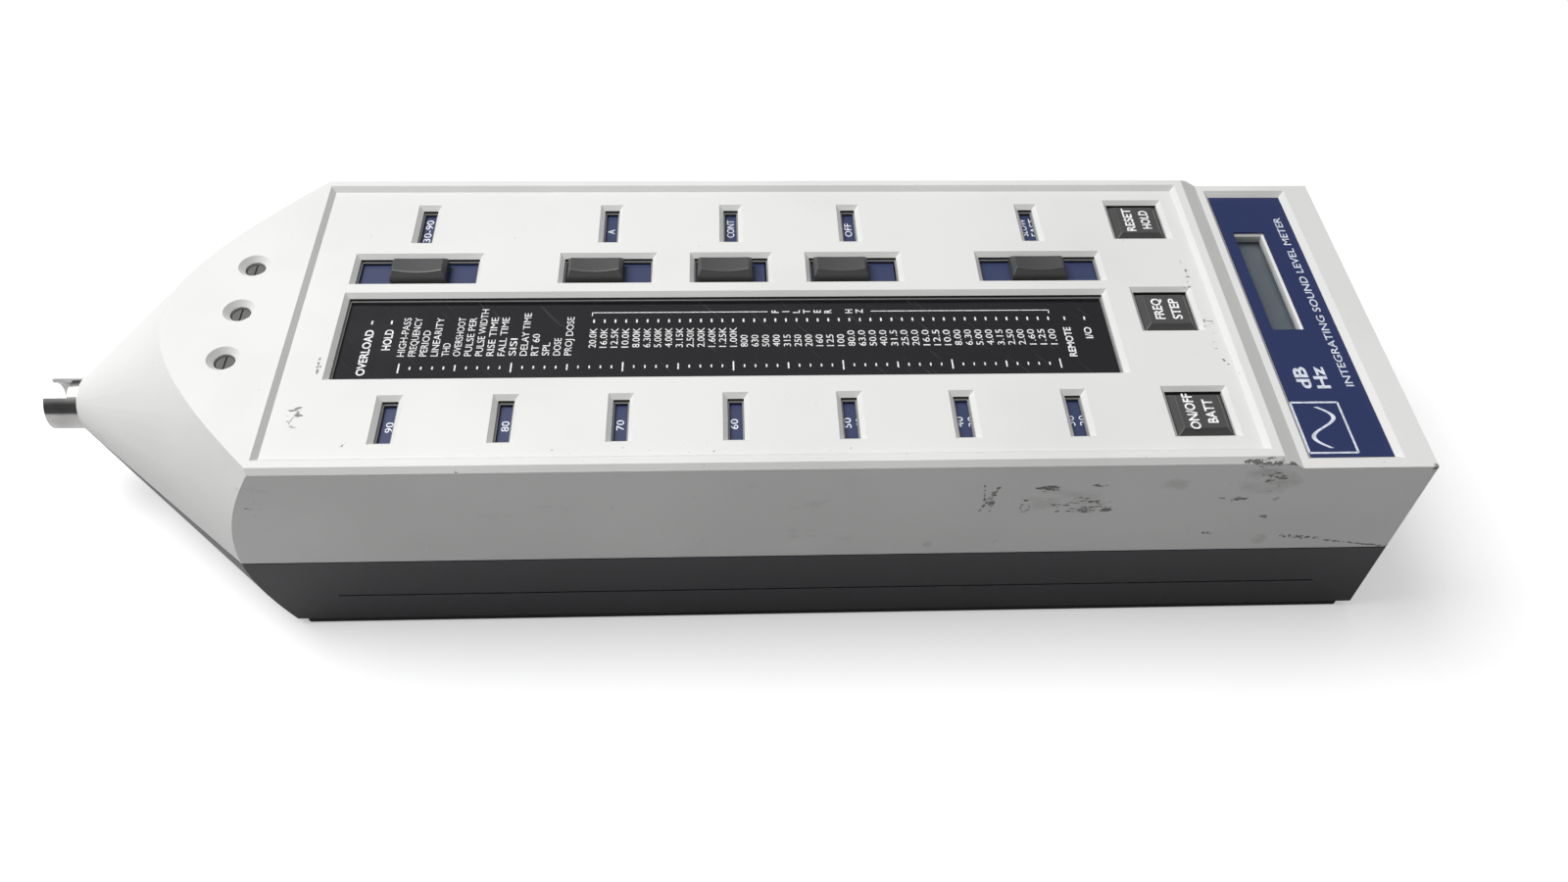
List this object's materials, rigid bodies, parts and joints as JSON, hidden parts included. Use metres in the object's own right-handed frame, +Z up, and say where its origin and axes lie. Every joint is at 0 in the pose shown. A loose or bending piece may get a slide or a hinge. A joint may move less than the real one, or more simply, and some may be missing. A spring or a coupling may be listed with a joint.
{
  "type": "sound level meter",
  "caption": "Hand-held sound level meter: cone nose with preamplifier socket, bar-graph window, slide switches, push keys and a digital readout.",
  "frame": {"origin": "middle of the case on the surface it rests on", "axes": "+X along the case towards the tail, +Z up out of the control panel, +Y across"},
  "size_m": [0.3264, 0.0984, 0.0593],
  "materials": {
    "case_white": "fine-textured warm white moulded plastic, scuffed on the side",
    "case_dark": "charcoal moulded plastic, satin",
    "rubber": "matt black rubber",
    "steel": "zinc-plated steel",
    "nickel": "bright nickel plate",
    "gold": "gold-plated contact",
    "brass": "turned brass",
    "black_plastic": "black moulded plastic",
    "key_black": "dark grey keys and knobs, satin, white legends",
    "smoked_acrylic": "gloss black display window with white legends",
    "label_blue": "navy printed label",
    "legend_blue": "navy printed legend plate, white numbers",
    "clear_lens": "clear lens",
    "lcd_glass": "grey-green liquid crystal glass",
    "board_green": "green circuit board",
    "contact_rubber": "conductive rubber strip",
    "tin": "tin-plated sheet",
    "ribbon_grey": "grey flat cable",
    "trimmer_blue": "dark moulded trimmer body",
    "trimmer_white": "grey moulded rotor",
    "cell_wrap": "plain plastic cell sleeve"
  },
  "bodies": {
    "case": {"top_shell": "case_white", "bottom_shell": "case_dark", "foot_rails": "rubber", "case_screws": "steel", "socket_ring": "nickel", "socket_insulator": "black_plastic", "socket_pins": "gold", "socket_nut": "nickel", "bezel_frame": "black_plastic", "bar_window": "smoked_acrylic", "bar_display": "lcd_glass", "label_plate": "label_blue", "lcd_lens": "clear_lens", "lcd_module": "lcd_glass", "display_connectors": "contact_rubber", "main_board": "board_green", "filter_board": "board_green", "board_spacers": "brass", "board_screws": "steel", "shield_can": "tin", "ribbon_cable": "ribbon_grey", "slide_switches": "tin", "button_spring_1": "steel", "button_spring_2": "steel", "button_spring_3": "steel", "key_switches": "black_plastic", "trimmer_bodies": "trimmer_blue", "tripod_insert": "brass", "batteries": "cell_wrap", "battery_contacts": "steel", "io_socket": "nickel", "io_socket_insert": "black_plastic", "output_jack": "black_plastic", "power_jack": "black_plastic", "power_jack_pin": "nickel"},
    "slider_1": {"slider_knob_1": "key_black", "slider_plate_1": "legend_blue"},
    "slider_2": {"slider_knob_2": "key_black", "slider_plate_2": "legend_blue"},
    "slider_3": {"slider_knob_3": "key_black", "slider_plate_3": "legend_blue"},
    "slider_4": {"slider_knob_4": "key_black", "slider_plate_4": "legend_blue"},
    "slider_5": {"slider_knob_5": "key_black", "slider_plate_5": "legend_blue"},
    "button_1": {"button_cap_1": "key_black"},
    "button_2": {"button_cap_2": "key_black"},
    "button_3": {"button_cap_3": "key_black"},
    "trimmer_1": {"trimmer_rotor_1": "trimmer_white"},
    "trimmer_2": {"trimmer_rotor_2": "trimmer_white"},
    "trimmer_3": {"trimmer_rotor_3": "trimmer_white"},
    "cover": {"battery_cover": "case_dark"}
  },
  "joints": [
    {"name": "slider_1_slide", "type": "slide", "parent": "case", "child": "slider_1", "axis": [1, 0, 0], "range_m": [-0.0074, 0.0067]},
    {"name": "slider_2_slide", "type": "slide", "parent": "case", "child": "slider_2", "axis": [1, 0, 0], "range_m": [-0.0003, 0.0064]},
    {"name": "slider_3_slide", "type": "slide", "parent": "case", "child": "slider_3", "axis": [1, 0, 0], "range_m": [-0.0001, 0.0032]},
    {"name": "slider_4_slide", "type": "slide", "parent": "case", "child": "slider_4", "axis": [1, 0, 0], "range_m": [-0.0002, 0.0068]},
    {"name": "slider_5_slide", "type": "slide", "parent": "case", "child": "slider_5", "axis": [1, 0, 0], "range_m": [-0.0069, 0.0079]},
    {"name": "button_1_press", "type": "slide", "parent": "case", "child": "button_1", "axis": [0, 0, -1], "range_m": [0, 0.0012], "stiffness_N_per_m": 500, "springref_m": -0.0006, "deforming": ["button_spring_1"]},
    {"name": "button_2_press", "type": "slide", "parent": "case", "child": "button_2", "axis": [0, 0, -1], "range_m": [0, 0.0012], "stiffness_N_per_m": 500, "springref_m": -0.0006, "deforming": ["button_spring_2"]},
    {"name": "button_3_press", "type": "slide", "parent": "case", "child": "button_3", "axis": [0, 0, -1], "range_m": [0, 0.0012], "stiffness_N_per_m": 500, "springref_m": -0.0006, "deforming": ["button_spring_3"]},
    {"name": "trimmer_1_turn", "type": "hinge", "parent": "case", "child": "trimmer_1", "pos_m": [-0.1087, -0.0156, 0.056], "axis": [0, 0, 1], "range_deg": [-135, 135]},
    {"name": "trimmer_2_turn", "type": "hinge", "parent": "case", "child": "trimmer_2", "pos_m": [-0.1087, 0, 0.056], "axis": [0, 0, 1], "range_deg": [-135, 135]},
    {"name": "trimmer_3_turn", "type": "hinge", "parent": "case", "child": "trimmer_3", "pos_m": [-0.1087, 0.0156, 0.056], "axis": [0, 0, 1], "range_deg": [-135, 135]},
    {"name": "battery_cover_slide", "type": "slide", "parent": "case", "child": "cover", "axis": [1, 0, 0], "range_m": [0, 0.1]}
  ]
}
